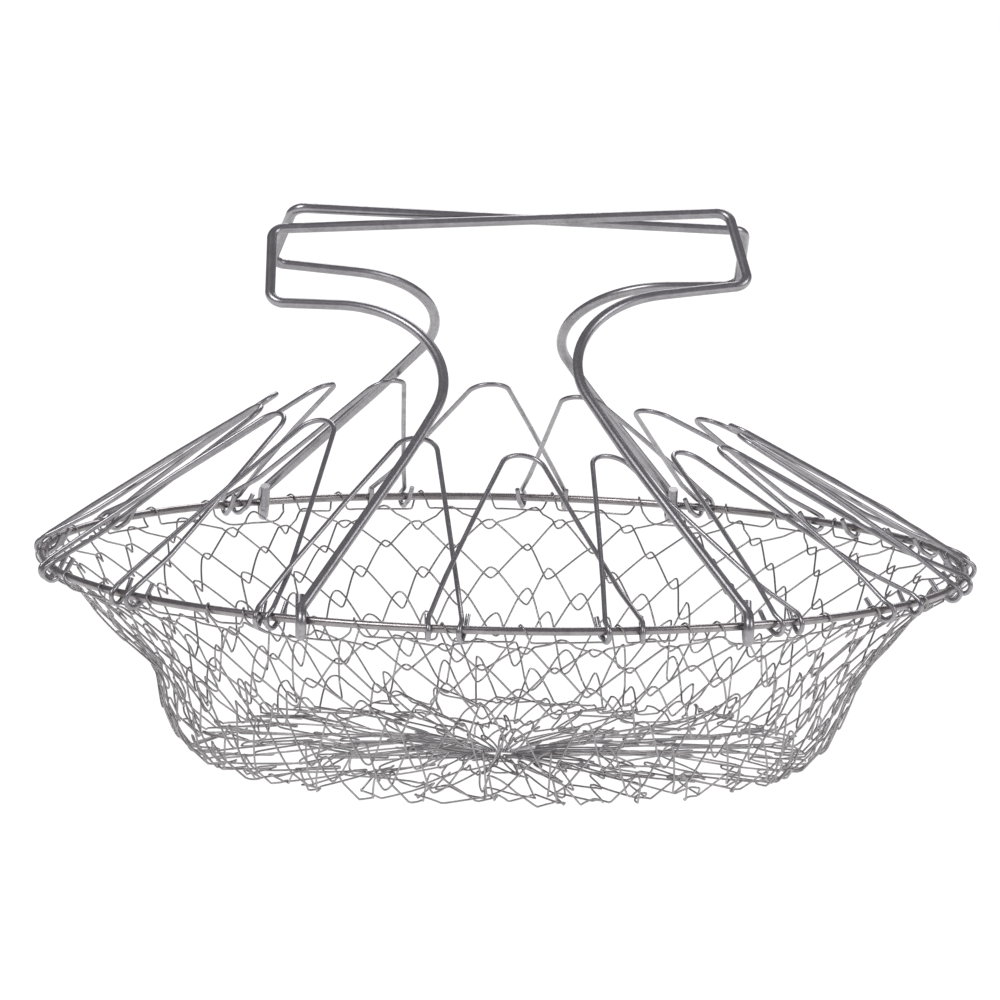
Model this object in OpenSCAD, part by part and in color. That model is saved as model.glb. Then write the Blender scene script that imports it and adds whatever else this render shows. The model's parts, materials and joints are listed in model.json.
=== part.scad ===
// Folding wire basket for frying and grilling.
// A rim ring carries a hanging chain-link net, a crown of V shaped support
// loops and two T shaped handles.  Every wire is hooked over the rim and
// turns about it.  +Z is up, the net's floor stands on z = 0, the front
// handle is on the -Y side and the origin lies under the rim's centre.

/* [Rim and net] */
// Diameter of the rim ring, middle of the wire
rim_d = 230; // [215:1:245]
// Thickness of the rim wire
rim_wire = 2; // [1.8:0.1:2.2]
// Height of the rim wire above the surface that the basket stands on
rim_h = 49.5; // [46:0.5:56]
// Thickness of the net wire
net_wire = 0.5; // [0.4:0.05:0.8]
// Radius of the ring that gathers the net at its centre
hub_r = 5; // [4:0.5:6]

/* [Support loops] */
// Thickness of the loop wire
loop_wire = 1.2; // [1:0.1:1.3]
// Length of a loop from the rim to its rounded tip
loop_len = 63.5; // [58:0.5:66]
// Angle about the basket's axis from a loop's middle to each of its feet
loop_half_angle = 12.8; // [12.4:0.1:13.2]
// Bend radius of a loop's tip
loop_tip_r = 5.5; // [4.5:0.5:6.5]

/* [Handles] */
// Thickness of the handle wire
handle_wire = 2.5; // [2.2:0.1:2.7]
// Distance along a handle from the rim to the top of its grip
handle_len = 131.2; // [129:0.2:131.4]
// Width of the grip across its lower corners
grip_w = 118.6; // [100:0.2:126]
// Angle that a handle leans up from level, over the basket
handle_lean = 40.6; // [40.4:0.2:42]

/* [Hidden] */
// Each support loop: angle of its middle round the rim from the front, how
// far it leans up from level, and how far its two legs are bowed out of its
// own flat, so that the left leg rides over the loop before it and the right
// leg passes under the loop after it.
LOOP_AZ = [4, 25, 47.2, 66, 85, 104.5, 123, 141.5, 165, 185, 206, 229.5, 252, 274, 297, 319, 342.5];
LOOP_LEAN = [31.5, 31.5, 31, 30, 31, 31, 30, 30, 32, 34.5, 35.8, 36, 36, 36, 37.5, 38.5, 36.1];
LOOP_OVER = [3.9, 2.5, 2.5, 2.8, 2.5, 2.3, 3, 2.3, 2, 2, 2.2, 2.4, 2.3, 2, 2, 2, 2.4];
LOOP_UNDER = [0.2, 0.2, 0.1, 0.2, 0.2, -0.1, 0.3, 0.4, 0.4, 0.4, 0, 0.2, 0.4, 0.4, 0.4, 0.1, -0.8];
// How far the tip of each loop is pushed sideways by its neighbours.
LOOP_TIP = [0, -0.5, -0.5, 1, 0, -1, -2, 1, -3.5, -1, 4, -2, 0, 0, 0, -5, -3];
// The basket's side from the rim to the floor: parts of the rim's radius and
// of its height.
NET_SIDE = [
    [0.965, 0.905], [0.935, 0.885], [0.885, 0.77], [0.84, 0.645],
    [0.8, 0.53], [0.76, 0.4], [0.725, 0.2], [0.69, 0.01]
];
// How deep each course of the net is, from the rim to the middle, in mm on a
// basket 230 mm across.
COURSE_DEPTH = [3.7, 8, 8, 7.4, 7.4, 7.4, 7.6, 7.8, 9, 10, 10, 10, 10, 10, 11];
course_count = len(COURSE_DEPTH);
loop_count = len(LOOP_AZ);
LOOP_NODES = [for (i = [1 : loop_count]) str("support_loop_", i < 10 ? "0" : "", i)];
COURSE_NODES = [for (i = [1 : course_count]) str("net_course_", i < 10 ? "0" : "", i)];

rim_r = rim_d / 2;
round_sides = 32;
bend_sides = 72;
lap = 0.1;

// The handles: angle of each one's middle round the rim, half the angle
// between its feet, how far its grip is bent out of square and off centre,
// how high the grip is, how far from the middle and how far below the grip's
// corners the legs would meet it but for their bend, and that bend's radius.
FRONT_AZ = 3;
REAR_AZ = 185.5;
handle_half_angle = 27.6;
grip_skew = 4;
grip_shift = -0.9;
grip_h = 24.6;
waist = 3.8;
shoulder_drop = 5.5;
shoulder_r = 25.6;

// Room between the rim wire and the inside of a hook.
loop_hook_r = (rim_wire + loop_wire) / 2 + 0.32;
handle_hook_r = (rim_wire + handle_wire) / 2 + 0.7;

// ---- Bent wire -------------------------------------------------------------

function unit(v) = v / norm(v);
function turn(a, b, c) = acos(max(-1, min(1, unit(b - a) * unit(c - b))));
function trim(p, r, i) = i == 0 || i == len(p) - 1 ? 0 : r[i] * tan(turn(p[i - 1], p[i], p[i + 1]) / 2);

// Puts the children's x, y and z on three square directions at a place.
module place(origin, x_dir, y_dir, z_dir) {
    multmatrix([
        [x_dir[0], y_dir[0], z_dir[0], origin[0]],
        [x_dir[1], y_dir[1], z_dir[1], origin[1]],
        [x_dir[2], y_dir[2], z_dir[2], origin[2]],
        [0, 0, 0, 1]
    ]) children();
}

// One straight length of wire, its section turned to meet the next bend.
module straight(from, to, d, side) {
    along = unit(to - from);
    place(from, side, cross(along, side), along)
        cylinder(h = norm(to - from), d = d, $fn = round_sides);
}

// One bend of radius r at corner b, between the directions from a and to c.
module bend(a, b, c, r, d) {
    arriving = unit(b - a);
    leaving = unit(c - b);
    axis = unit(cross(arriving, leaving));
    start = b - arriving * r * tan(turn(a, b, c) / 2);
    outward = cross(arriving, axis);
    place(start - outward * r, outward, arriving, axis)
        rotate_extrude(angle = turn(a, b, c), $fn = bend_sides)
            translate([r, 0]) circle(d = d, $fn = round_sides);
}

// A wire through corners p, bent to radius r at each of them.  The bends
// are a hair thicker than the straights, which end just inside them.
module wire(p, r, d) {
    last = len(p) - 1;
    for (i = [0 : last - 1]) {
        along = unit(p[i + 1] - p[i]);
        j = max(1, min(last - 1, i + 1));
        side = unit(cross(unit(p[j] - p[j - 1]), unit(p[j + 1] - p[j])));
        from = p[i] + along * (trim(p, r, i) - (i == 0 ? 0 : lap));
        to = p[i + 1] - along * (trim(p, r, i + 1) - (i == last - 1 ? 0 : lap));
        straight(from, to, d, unit(side - along * (side * along)));
    }
    for (i = [1 : last - 1])
        bend(p[i - 1], p[i], p[i + 1], r[i], d + 0.04);
}

// Sets a hinged wire on the rim: x runs along the line through its two
// feet, y is the way it leans and z stands square to it on the outside.
module on_rim(az, half_angle, lean) {
    translate([0, 0, rim_h])
        rotate([0, 0, az])
            translate([0, -rim_r * cos(half_angle), 0])
                rotate([lean, 0, 0])
                    children();
}

function backwards(v) = [for (i = [len(v) - 1 : -1 : 0]) v[i]];

// Corners of a hook at distance x from the middle: a free end behind the
// rim, the round of the hook under it and the start of the leg in front.
function hook(x, r, end) = [[x, end, -0.1 * r], [x, 0.3 * end, -r], [x, -r - 1, -r], [x, -r - 1, r], [x, 1, r]];
function hook_bends(r, end) = [0, 0.3 * end, r - 0.12, r - 0.12, 4];

// ---- Rim -------------------------------------------------------------------

module rim_ring() {
    color("silver")
        translate([0, 0, rim_h])
            rotate_extrude($fn = 180)
                translate([rim_r, 0]) circle(d = rim_wire, $fn = round_sides);
}

// ---- Support loops ---------------------------------------------------------

// One V shaped loop with a rounded tip, hooked over the rim at both feet.
module support_loop(i) {
    foot = rim_r * sin(loop_half_angle);
    reach = loop_len - loop_tip_r - 1;
    slope = atan(foot / reach) - asin(loop_tip_r / norm([foot, reach]));
    vertex = loop_len - loop_tip_r + loop_tip_r / sin(slope);
    low = 13;
    high = 36;
    over = LOOP_OVER[i];
    under = LOOP_UNDER[i];
    t = LOOP_TIP[i];
    near = foot - low * tan(slope);
    far = foot - high * tan(slope);
    left = [[t * 0.2 - near, low + 1, over], [t * 0.5 - far, high + 1, over * 0.9]];
    right = [[t * 0.5 + far, high + 1, under], [t * 0.2 + near, low + 1, under]];
    corners = concat(
        hook(-foot, loop_hook_r, 5.4), left, [[t, vertex, (over + under) / 4]], right,
        backwards(hook(foot, loop_hook_r, 5.4))
    );
    bends = concat(
        hook_bends(loop_hook_r, 5.4), [30, 60], [loop_tip_r], [60, 30], backwards(hook_bends(loop_hook_r, 5.4))
    );
    color("lightgrey")
        on_rim(LOOP_AZ[i], loop_half_angle, LOOP_LEAN[i])
            wire(corners, bends, loop_wire);
}

// ---- Handles ---------------------------------------------------------------

function skewed(x, y) =
    let (c = cos(grip_skew), s = sin(grip_skew), root = handle_len - grip_h)
        [grip_shift + x * c - (y - root) * s, root + x * s + (y - root) * c, 0];

// The legs are bowed a little towards each other, and outward to clear the
// crown of loops.
function bowed(a, b) = a + (b - a) * 0.5 + [-1.8 * sign(a[0]), 0, 0.8];

// One handle: two legs that close to a waist, then a wide grip across them.
module handle(az) {
    foot = rim_r * sin(handle_half_angle);
    root = handle_len - grip_h;
    wide = grip_w / 2;
    meet = root - shoulder_drop;
    shoulder = [skewed(-waist, meet), skewed(-wide, root), skewed(2.5 - wide, handle_len)];
    far_shoulder = [skewed(wide - 2.5, handle_len), skewed(wide, root), skewed(waist, meet)];
    leg = [bowed([-foot, 1, handle_hook_r], shoulder[0])];
    far_leg = [bowed([foot, 1, handle_hook_r], far_shoulder[2])];
    corners = concat(
        hook(-foot, handle_hook_r, 8), leg, shoulder,
        far_shoulder, far_leg, backwards(hook(foot, handle_hook_r, 8))
    );
    bends = concat(
        hook_bends(handle_hook_r, 8), [250, shoulder_r, 3.5, 3.5],
        [3.5, 3.5, shoulder_r, 250], backwards(hook_bends(handle_hook_r, 8))
    );
    color("silver")
        on_rim(az, handle_half_angle, handle_lean)
            wire(corners, bends, handle_wire);
}

module front_handle() {
    handle(FRONT_AZ);
}

module rear_handle() {
    handle(REAR_AZ);
}

// ---- Net -------------------------------------------------------------------

// The net is chain-link: rings of wavy wire, each hooked through the next.
// Each course stands here as the closed band that its waves lie in.
floor_z = net_wire / 2;
SIDE_PATH = [for (p = NET_SIDE) [p[0] * rim_r, floor_z + p[1] * (rim_h - floor_z)]];
NET_PATH = concat(SIDE_PATH, [[0.64 * rim_r, floor_z], [hub_r + 1, floor_z]]);

function length(path, i = 0) = i > len(path) - 2 ? 0 : norm(path[i + 1] - path[i]) + length(path, i + 1);
function at(path, s, i = 0) =
    let (part = norm(path[i + 1] - path[i]))
        s <= part || i == len(path) - 2
            ? path[i] + (path[i + 1] - path[i]) * s / part
            : at(path, s - part, i + 1);
function total(v, n) = n == 0 ? 0 : v[n - 1] + total(v, n - 1);

// Where one course ends and the next begins, as [radius, height].
stretch = length(NET_PATH) / total(COURSE_DEPTH, course_count);
EDGES = [for (i = [0 : course_count]) at(NET_PATH, total(COURSE_DEPTH, i) * stretch)];

module net_course(i) {
    down = unit(EDGES[i + 1] - EDGES[i]);
    out = [-down[1], down[0]] * net_wire / 2;
    a = EDGES[i] + down * 0.25;
    b = EDGES[i + 1] - down * 0.25;
    color("gainsboro")
        rotate_extrude($fn = 144)
            polygon([a + out, a - out, b - out, b + out]);
}

module net_hub_ring() {
    color("gainsboro")
        translate([0, 0, floor_z])
            rotate_extrude($fn = 48)
                translate([hub_r, 0]) circle(d = net_wire, $fn = 16);
}

// The lacing that hangs the net: a ring of net wire under the rim.
module net_lacing() {
    color("gainsboro")
        translate([0, 0, rim_h - 3.7])
            rotate_extrude($fn = 144)
                translate([rim_r - 5, 0]) circle(d = net_wire, $fn = 16);
}

// ---- Nodes -----------------------------------------------------------------

rim_ring();
front_handle();
rear_handle();
net_lacing();
net_hub_ring();
support_loop(0);  // support_loop_01
support_loop(1);  // support_loop_02
support_loop(2);  // support_loop_03
support_loop(3);  // support_loop_04
support_loop(4);  // support_loop_05
support_loop(5);  // support_loop_06
support_loop(6);  // support_loop_07
support_loop(7);  // support_loop_08
support_loop(8);  // support_loop_09
support_loop(9);  // support_loop_10
support_loop(10);  // support_loop_11
support_loop(11);  // support_loop_12
support_loop(12);  // support_loop_13
support_loop(13);  // support_loop_14
support_loop(14);  // support_loop_15
support_loop(15);  // support_loop_16
support_loop(16);  // support_loop_17
net_course(0);  // net_course_01
net_course(1);  // net_course_02
net_course(2);  // net_course_03
net_course(3);  // net_course_04
net_course(4);  // net_course_05
net_course(5);  // net_course_06
net_course(6);  // net_course_07
net_course(7);  // net_course_08
net_course(8);  // net_course_09
net_course(9);  // net_course_10
net_course(10);  // net_course_11
net_course(11);  // net_course_12
net_course(12);  // net_course_13
net_course(13);  // net_course_14
net_course(14);  // net_course_15
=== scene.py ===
import json
import math
import random

import bpy
from mathutils import Matrix, Vector


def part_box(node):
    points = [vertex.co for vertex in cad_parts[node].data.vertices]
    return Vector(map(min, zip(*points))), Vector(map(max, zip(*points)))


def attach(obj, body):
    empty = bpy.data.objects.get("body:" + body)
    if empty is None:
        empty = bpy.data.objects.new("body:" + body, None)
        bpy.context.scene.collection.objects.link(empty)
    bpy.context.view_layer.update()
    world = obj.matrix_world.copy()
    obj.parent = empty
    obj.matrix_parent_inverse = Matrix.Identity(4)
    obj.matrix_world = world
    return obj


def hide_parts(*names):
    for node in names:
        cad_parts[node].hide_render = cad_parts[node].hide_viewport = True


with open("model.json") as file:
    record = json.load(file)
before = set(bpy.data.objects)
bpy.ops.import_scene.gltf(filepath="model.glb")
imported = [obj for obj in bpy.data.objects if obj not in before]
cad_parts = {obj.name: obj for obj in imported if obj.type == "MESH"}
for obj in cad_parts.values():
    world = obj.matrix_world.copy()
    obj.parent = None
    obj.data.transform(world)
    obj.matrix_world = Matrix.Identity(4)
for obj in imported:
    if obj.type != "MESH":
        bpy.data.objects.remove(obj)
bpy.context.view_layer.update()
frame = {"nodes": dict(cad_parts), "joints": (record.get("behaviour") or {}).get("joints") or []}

# ---- Rim ring --------------------------------------------------------------
# The ring that everything hangs on: 2 mm drawn steel wire, bent round, butt
# welded and tin plated.  It keeps its shape from the CAD node.


class Term:
    """One value in a material; arithmetic on it adds Math nodes."""

    def __init__(self, tree, socket):
        self.tree = tree
        self.socket = socket

    def calc(self, operation, *terms):
        node = self.tree.nodes.new("ShaderNodeMath")
        node.operation = operation
        for slot, term in zip(node.inputs, terms):
            join(self.tree, slot, term)
        return Term(self.tree, node.outputs[0])

    def __add__(self, other):
        return self.calc("ADD", self, other)

    def __radd__(self, other):
        return self.calc("ADD", other, self)

    def __sub__(self, other):
        return self.calc("SUBTRACT", self, other)

    def __rsub__(self, other):
        return self.calc("SUBTRACT", other, self)

    def __mul__(self, other):
        return self.calc("MULTIPLY", self, other)

    def __rmul__(self, other):
        return self.calc("MULTIPLY", other, self)

    def between(self, low, high):
        """0 below low, 1 above high and smooth between them."""
        settings = {"interpolation_type": "SMOOTHSTEP"}
        inputs = {"Value": self, "From Min": low, "From Max": high}
        return make(self.tree, "ShaderNodeMapRange", settings, inputs, "Result")

    def mix(self, first, second):
        """The colour first where this is 0 and second where it is 1."""
        settings = {"data_type": "RGBA"}
        return make(self.tree, "ShaderNodeMix", settings, {0: self, 6: first, 7: second}, 2)


def join(tree, slot, term):
    if isinstance(term, Term):
        tree.links.new(term.socket, slot)
    else:
        slot.default_value = term


def make(tree, kind, settings, inputs, output):
    """Any other node: its type, its settings, its inputs and the output wanted."""
    node = tree.nodes.new(kind)
    for name, value in settings.items():
        setattr(node, name, value)
    for name, term in inputs.items():
        join(tree, node.inputs[name], term)
    return Term(tree, node.outputs[output])


def drawn_steel(name, dark, light, shine, grain_scale, stain):
    """Tinned steel wire: die lines, a mottled plating and dull stained spots."""
    material = bpy.data.materials.new(name)
    material.use_nodes = True
    tree = material.node_tree
    surface = tree.nodes["Principled BSDF"]
    place = make(tree, "ShaderNodeTexCoord", {}, {}, "Object")
    grain_inputs = {"Vector": place, "Scale": grain_scale, "Detail": 6.0, "Roughness": 0.62}
    grain = make(tree, "ShaderNodeTexNoise", {}, grain_inputs, "Fac")
    mottle_inputs = {"Vector": place, "Scale": 240.0, "Detail": 3.0, "Distortion": 0.6}
    mottle = make(tree, "ShaderNodeTexNoise", {}, mottle_inputs, "Fac")
    spot_inputs = {"Vector": place, "Scale": 95.0, "Detail": 5.0, "Roughness": 0.7}
    spots = make(tree, "ShaderNodeTexNoise", {}, spot_inputs, "Fac").between(0.56, 0.68)
    scratch_inputs = {"Vector": place, "Scale": 700.0, "Randomness": 1.0}
    scratch_settings = {"feature": "DISTANCE_TO_EDGE"}
    scratch = make(tree, "ShaderNodeTexVoronoi", scratch_settings, scratch_inputs, "Distance")
    tone = (mottle * 0.5 + grain * 0.5).between(0.26, 0.74)
    plating = tone.mix(dark, light)
    stained = (spots * 0.3).mix(plating, stain)
    join(tree, surface.inputs["Base Color"], stained)
    surface.inputs["Metallic"].default_value = 1.0
    roughness = shine + 0.14 * grain + 0.12 * spots - 0.04 * mottle
    join(tree, surface.inputs["Roughness"], roughness)
    relief = grain * 0.7 + scratch.between(0.0, 0.12) * 0.3
    bump_inputs = {"Height": relief, "Strength": 0.16, "Distance": 0.00005}
    join(tree, surface.inputs["Normal"], make(tree, "ShaderNodeBump", {}, bump_inputs, "Normal"))
    return material


def finish_node(node, material):
    """Gives a CAD node its material."""
    piece = frame["nodes"][node]
    piece.data.materials.clear()
    piece.data.materials.append(material)


RIM_STEEL = drawn_steel(
    "rim_steel", (0.27, 0.25, 0.25, 1), (0.40, 0.38, 0.39, 1), 0.25, 1500.0, (0.16, 0.12, 0.10, 1)
)
finish_node("rim_ring", RIM_STEEL)

# ---- Handles ---------------------------------------------------------------
# Two wires of one form, 2.5 mm thick: the legs are hooked over the rim and
# the wide grip is bent square across them.  Their shape is the CAD's.

HANDLE_STEEL = drawn_steel(
    "handle_steel", (0.31, 0.30, 0.315, 1), (0.43, 0.42, 0.44, 1), 0.28, 1300.0, (0.17, 0.14, 0.12, 1)
)
for name in ("front_handle", "rear_handle"):
    finish_node(name, HANDLE_STEEL)

# ---- Support loops ---------------------------------------------------------
# Seventeen V shaped wires, 1.2 mm thick, each hooked over the rim at both
# feet and lapped over its neighbour.  Their shape is the CAD's.

LOOP_STEEL = drawn_steel(
    "loop_steel", (0.31, 0.30, 0.315, 1), (0.43, 0.42, 0.44, 1), 0.27, 1800.0, (0.16, 0.13, 0.12, 1)
)
for name in frame["nodes"]:
    if name.startswith("support_loop_"):
        finish_node(name, LOOP_STEEL)

# ---- Net courses -----------------------------------------------------------
# Fifteen rings of wavy wire, 0.5 mm thick, each hooked through the next
# like chain link.  Down legs run on the outside and up legs on the inside,
# so that the wires clasp at every knot.  The net hangs slack from the rim.

NET_STEEL = drawn_steel(
    "net_steel", (0.29, 0.275, 0.28, 1), (0.41, 0.395, 0.405, 1), 0.28, 2200.0, (0.15, 0.12, 0.10, 1)
)
NET_WIRE = 0.0005
COURSES = sorted(name for name in frame["nodes"] if name.startswith("net_course_"))
WAVES = 36
WAVE_ANGLE = 360 / WAVES
# Azimuth of the first knot under the rim, in degrees from the front.
FIRST_KNOT_AZ = 7.5
# Keeps the lowest wires clear of the surface below.
FLOOR_LIFT = 0.0003
# From the middle of the net to the wires on either side of it.
HALF_LAYER = 0.00029
# The line of knots where the wall meets the floor.
FLOOR_ROW = 8
# Points along each leg of a wave.
STEPS = 20
# How far the slack left wall is pushed in and out, and the whole wall's waver.
LEFT_BUCKLE = 0.0013
WALL_WAVER = 0.0009
# The most that a floor knot stands up.
MOST_CRUMPLE = 0.0050
chance = random.Random(7)


def wire_piece(name, points, thickness, material, body, closed=True):
    """A round wire through points, riding on a body."""
    curve = bpy.data.curves.new(name, "CURVE")
    curve.dimensions = "3D"
    curve.bevel_depth = thickness / 2
    curve.bevel_resolution = 2
    curve.use_fill_caps = not closed
    spline = curve.splines.new("POLY")
    spline.points.add(len(points) - 1)
    for point, place in zip(spline.points, points):
        point.co = (*place, 1)
    spline.use_cyclic_u = closed
    curve.materials.append(material)
    piece = bpy.data.objects.new(name, curve)
    bpy.context.scene.collection.objects.link(piece)
    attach(piece, body)
    return piece


def course_edges():
    """The (radius, height) of each line of knots, from the CAD bands."""
    edges = []
    for name in COURSES:
        low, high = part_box(name)
        edges.append((high[0], high[2]))
    low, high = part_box("net_hub_ring")
    edges.append((high[0] - NET_WIRE / 2, (low[2] + high[2]) / 2))
    return edges


EDGES = course_edges()
RIM_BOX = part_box("rim_ring")
RIM_R = RIM_BOX[1][0] - 0.001
RIM_Z = (RIM_BOX[0][2] + RIM_BOX[1][2]) / 2
# The first course's tips rise this many rows, to a place just under the rim.
UNDER_RIM = (RIM_R - 0.0012, RIM_Z - 0.0027)
TIP_ROWS = 0.6


def hook_azimuths(kind):
    """Where the feet of the handles or of the support loops stand round the rim."""
    feet = []
    for joint in frame["joints"]:
        if kind not in joint["name"]:
            continue
        x, y, z = joint["pos_m"]
        half = math.degrees(math.acos(math.hypot(x, y) / RIM_R))
        middle = math.degrees(math.atan2(x, -y))
        feet += [middle - half, middle + half]
    return feet


def nearest(az, feet):
    """Degrees from az to the nearest of the feet."""
    return min(abs((az - foot + 180) % 360 - 180) for foot in feet)


def clear_of_hooks(az, room, handle_room):
    """The azimuth nearest az with room to every loop's and handle's hook."""
    for shift in range(60):
        for sign in (1, -1):
            tried = az + sign * shift * 0.1
            if nearest(tried, LOOP_FEET) >= room and nearest(tried, HANDLE_FEET) >= handle_room:
                return tried
    return az


HANDLE_FEET = hook_azimuths("handle")
LOOP_FEET = hook_azimuths("support_loop")


def on_net(row, az, out):
    """A place on the net, out metres outside its middle.

    Row counts the lines of knots down from the rim and may be a fraction.
    """
    last = len(EDGES) - 1
    i = max(-1, min(last - 1, int(math.floor(row))))
    part = row - i
    a = EDGES[i]
    b = EDGES[i + 1]
    if i < 0:
        a = UNDER_RIM
        part = 1 + row / TIP_ROWS
    radius = a[0] + (b[0] - a[0]) * part
    height = a[1] + (b[1] - a[1]) * part
    along = Vector((b[0] - a[0], b[1] - a[1])).normalized()
    radius += -along[1] * out
    height += along[0] * out
    angle = math.radians(az)
    wall = max(0.0, min(1.0, row - 1, (FLOOR_ROW - row) / 3))
    left = max(0.0, -math.sin(angle))
    radius += wall * left * LEFT_BUCKLE * math.cos(math.pi * (row - 2) / 2.6)
    radius += wall * WALL_WAVER * math.cos(3 * angle + 0.7)
    return (radius * math.sin(angle), -radius * math.cos(angle), max(height + FLOOR_LIFT, NET_WIRE / 2))


def knots(row):
    """The knots on one line: azimuth, row and how far out each one sits."""
    start = FIRST_KNOT_AZ + row * WAVE_ANGLE / 2
    loose = min(1, 0.3 + row / 8)
    crumpled = max(0, min(1, (row - 5) / 4)) if row < len(EDGES) - 1 else 0
    line = []
    for k in range(WAVES):
        az = start + k * WAVE_ANGLE + chance.gauss(0, 1.1 + 1.4 * crumpled) * loose
        az += 2.6 * crumpled * math.sin(math.radians(3 * az + 95 * row))
        depth = row + chance.gauss(0, 0.10 + 0.16 * crumpled) * loose
        depth += 0.22 * crumpled * math.sin(math.radians(4 * az + 140 * row))
        out = chance.gauss(0, 0.0006) * loose
        if row == 0:
            az = clear_of_hooks(start + k * WAVE_ANGLE, 1.6, 1.8)
            depth = 0
        if row > FLOOR_ROW:
            ripple = math.sin(math.radians(5 * az + 70 * row)) + (1 if row % 2 else -0.6)
            out = -min(MOST_CRUMPLE, abs(chance.gauss(0, 0.0015)) + max(0, 0.0013 * ripple))
        line.append((az, depth, out))
    return line


KNOTS = [knots(row) for row in range(len(EDGES))]
KNOTS[-1] = [(az, len(EDGES) - 1, 0.0) for az, depth, out in KNOTS[-1]]


def rounded_zigzag(part, sharp):
    """From 1 at part 0 to -1 at part 1, straight between rounded tips."""
    return math.asin(sharp * math.cos(math.pi * part)) / math.asin(sharp)


def half_wave(upper, lower, down, sharp, hook_up, hook_down):
    """Places along one leg between an upper and a lower knot."""
    first, second = (upper, lower) if down else (lower, upper)
    places = []
    for n in range(STEPS):
        part = n / STEPS
        swing = rounded_zigzag(part, sharp)
        if not down:
            swing = -swing
        top = upper[1] - hook_up
        bottom = lower[1] + hook_down
        row = (top + bottom) / 2 - swing * (bottom - top) / 2
        az = first[0] + (second[0] - first[0]) * part
        side = min(1, part / 0.13, (1 - part) / 0.13)
        side = side * side * (3 - 2 * side) * (1 if down else -1)
        slack = first[2] + (second[2] - first[2]) * part
        places.append(on_net(row, az, slack + side * HALF_LAYER))
    return places


def overlap(row):
    """How far two courses reach past each other at a line of knots."""
    if row == len(EDGES) - 1:
        return 0.0009
    if row > FLOOR_ROW:
        return 0.0026
    by_row = (0.0010, 0.0010, 0.0010, 0.0016, 0.0024, 0.0032)
    return by_row[min(row, 5)]


def sharpness(i):
    """How pointed a course's tips are: 1 is a straight zigzag, 0 a soft wave."""
    by_course = (0.9, 0.965, 0.965, 0.88, 0.7)
    return by_course[min(i, 4)]


for i, node in enumerate(COURSES):
    upper = KNOTS[i]
    lower = KNOTS[i + 1]
    spacing = math.dist(EDGES[i], EDGES[i + 1])
    hook_up = overlap(i) / spacing if i else TIP_ROWS
    hook_down = overlap(i + 1) / spacing
    path = []
    for k in range(WAVES):
        after = upper[(k + 1) % WAVES]
        after = (after[0] + (360 if k == WAVES - 1 else 0), after[1], after[2])
        path += half_wave(upper[k], lower[k], True, sharpness(i), hook_up, hook_down)
        path += half_wave(after, lower[k], False, sharpness(i), hook_up, hook_down)
    course = wire_piece(f"wavy_{node}", path, NET_WIRE, NET_STEEL, "basket")
    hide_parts(node)

# ---- Net hub ring ----------------------------------------------------------
# The small ring of net wire that gathers the last course at the middle of
# the floor.  Its shape is the CAD's.

finish_node("net_hub_ring", NET_STEEL)

# ---- Net lacing ------------------------------------------------------------
# One long net wire that hangs the net: it is wound over the rim once for
# each wave, then runs under the rim through the tips of the first course.


# One turn of the lacing: degrees round from the middle of the wrap, then mm
# outward and upward from the middle of the rim wire.  Between turns it runs
# low past a handle's foot, whose hook swings through there, and high elsewhere.
WRAP = [
    (-1.3, -1.7, -2.8), (-0.9, -1.6, -1.2), (-0.6, -1.25, 0.5), (-0.3, -0.1, 1.45), (0, 1.2, 0.75),
    (0.3, 1.4, -0.4), (0.6, 0.9, -1.6), (0.9, -0.4, -2.7), (1.3, -1.5, -3.1),
]
RUN_HIGH = [(-1.7, -3.1), (-1.6, -3.0), (-1.7, -2.9)]
RUN_LOW = [(-3.2, -4.8), (-3.3, -4.9), (-3.2, -4.8)]


def smooth_closed(corners, steps):
    """A smooth closed path through corners."""
    count = len(corners)
    path = []
    for i in range(count):
        a, b, c, d = (Vector(corners[(i + n) % count]) for n in (-1, 0, 1, 2))
        for n in range(steps):
            t = n / steps
            place = 2 * b + (c - a) * t + (2 * a - 5 * b + 4 * c - d) * t * t
            path.append((place + (3 * b - a - 3 * c + d) * t ** 3) / 2)
    return path


def beside_rim(az, outward, upward):
    angle = math.radians(az)
    radius = RIM_R + outward / 1000
    return (radius * math.sin(angle), -radius * math.cos(angle), RIM_Z + upward / 1000)


def lacing_path():
    tops = [clear_of_hooks(FIRST_KNOT_AZ + (k + 0.5) * WAVE_ANGLE, 1.9, 3.8) for k in range(WAVES)]
    corners = []
    for k, top in enumerate(tops):
        corners += [beside_rim(top + turn, out, up) for turn, out, up in WRAP]
        following = tops[(k + 1) % WAVES] + (360 if k == WAVES - 1 else 0)
        start = top + WRAP[-1][0]
        gap = following + WRAP[0][0] - start
        by_handle = nearest(start + gap / 2, HANDLE_FEET) < gap / 2 + 1
        for part, (out, up) in zip((0.16, 0.5, 0.84), RUN_LOW if by_handle else RUN_HIGH):
            corners.append(beside_rim(start + gap * part, out, up))
    return smooth_closed(corners, 5)


lacing = wire_piece("wound_lacing", lacing_path(), NET_WIRE, NET_STEEL, "basket")
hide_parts("net_lacing")

# ---- Floor and light -------------------------------------------------------
# A plain, pale floor that glows softly, a dim room and three broad lights.


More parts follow.
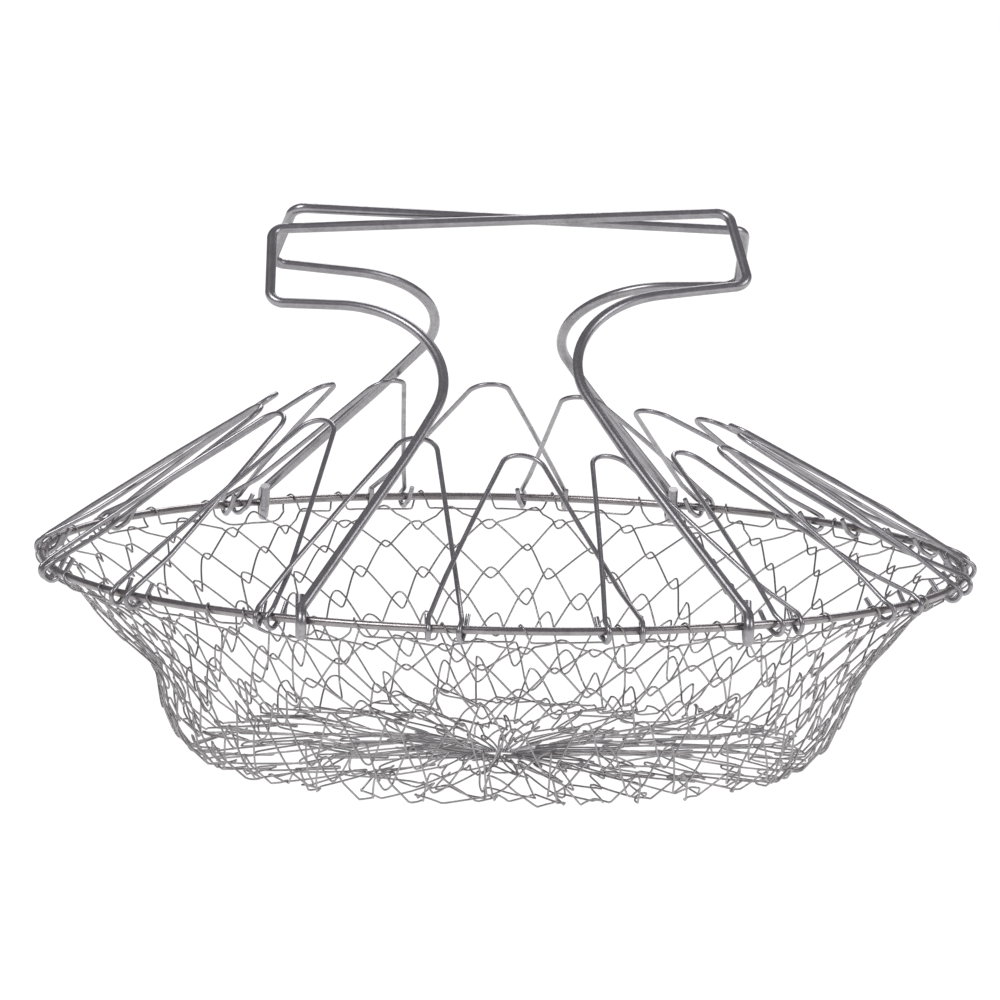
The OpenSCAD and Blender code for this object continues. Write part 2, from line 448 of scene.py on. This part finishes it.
def pale_floor():
    material = bpy.data.materials.new("pale_floor")
    material.use_nodes = True
    surface = material.node_tree.nodes["Principled BSDF"]
    surface.inputs["Base Color"].default_value = (0.12, 0.12, 0.12, 1)
    surface.inputs["Roughness"].default_value = 1.0
    surface.inputs["Specular IOR Level"].default_value = 0.0
    surface.inputs["Emission Color"].default_value = (1, 1, 1, 1)
    surface.inputs["Emission Strength"].default_value = 0.99
    half = 9
    mesh = bpy.data.meshes.new("floor")
    corners = [(-half, -half, 0), (half, -half, 0), (half, half, 0), (-half, half, 0)]
    mesh.from_pydata(corners, [], [(0, 1, 2, 3)])
    mesh.materials.append(material)
    floor = bpy.data.objects.new("floor", mesh)
    floor.location.z = -0.0002
    bpy.context.scene.collection.objects.link(floor)


def soft_light(name, place, size, power):
    light = bpy.data.lights.new(name, "AREA")
    light.shape = "DISK"
    light.size = size
    light.energy = power
    lamp = bpy.data.objects.new(name, light)
    lamp.location = place
    aim = Vector((0, 0, 0.06)) - Vector(place)
    lamp.rotation_euler = aim.to_track_quat("-Z", "Y").to_euler()
    bpy.context.scene.collection.objects.link(lamp)


pale_floor()
soft_light("key", (-0.9, -1.0, 1.5), 0.9, 14)
soft_light("fill", (1.3, -0.6, 0.9), 0.8, 6)
soft_light("back", (0.2, 1.4, 1.2), 1.0, 8)
world = bpy.data.worlds.new("room")
world.use_nodes = True
world.node_tree.nodes["Background"].inputs["Color"].default_value = (0.24, 0.23, 0.25, 1)
bpy.context.scene.world = world
bpy.context.scene.view_settings.view_transform = "Standard"

# ---- Camera ----------------------------------------------------------------
# A long lens a little above the rim, square to the front handle's side.

DISTANCE = 2.2
ELEVATION = math.radians(8.335)
ROLL = math.radians(1.24)
camera = bpy.data.cameras.new("camera")
camera.lens = 317.5
camera.sensor_width = 36
camera.shift_x = -0.0036
camera.shift_y = 0.0603
viewer = bpy.data.objects.new("camera", camera)
ahead = Vector((0, math.cos(ELEVATION), -math.sin(ELEVATION)))
right = Vector((1, 0, 0))
up = right.cross(ahead)
tilted_right = right * math.cos(ROLL) + up * math.sin(ROLL)
tilted_up = up * math.cos(ROLL) - right * math.sin(ROLL)
turn = Matrix((tilted_right, tilted_up, -ahead)).transposed().to_4x4()
viewer.matrix_world = Matrix.Translation(Vector((0, 0, RIM_Z)) - ahead * DISTANCE) @ turn
bpy.context.scene.collection.objects.link(viewer)
bpy.context.scene.camera = viewer
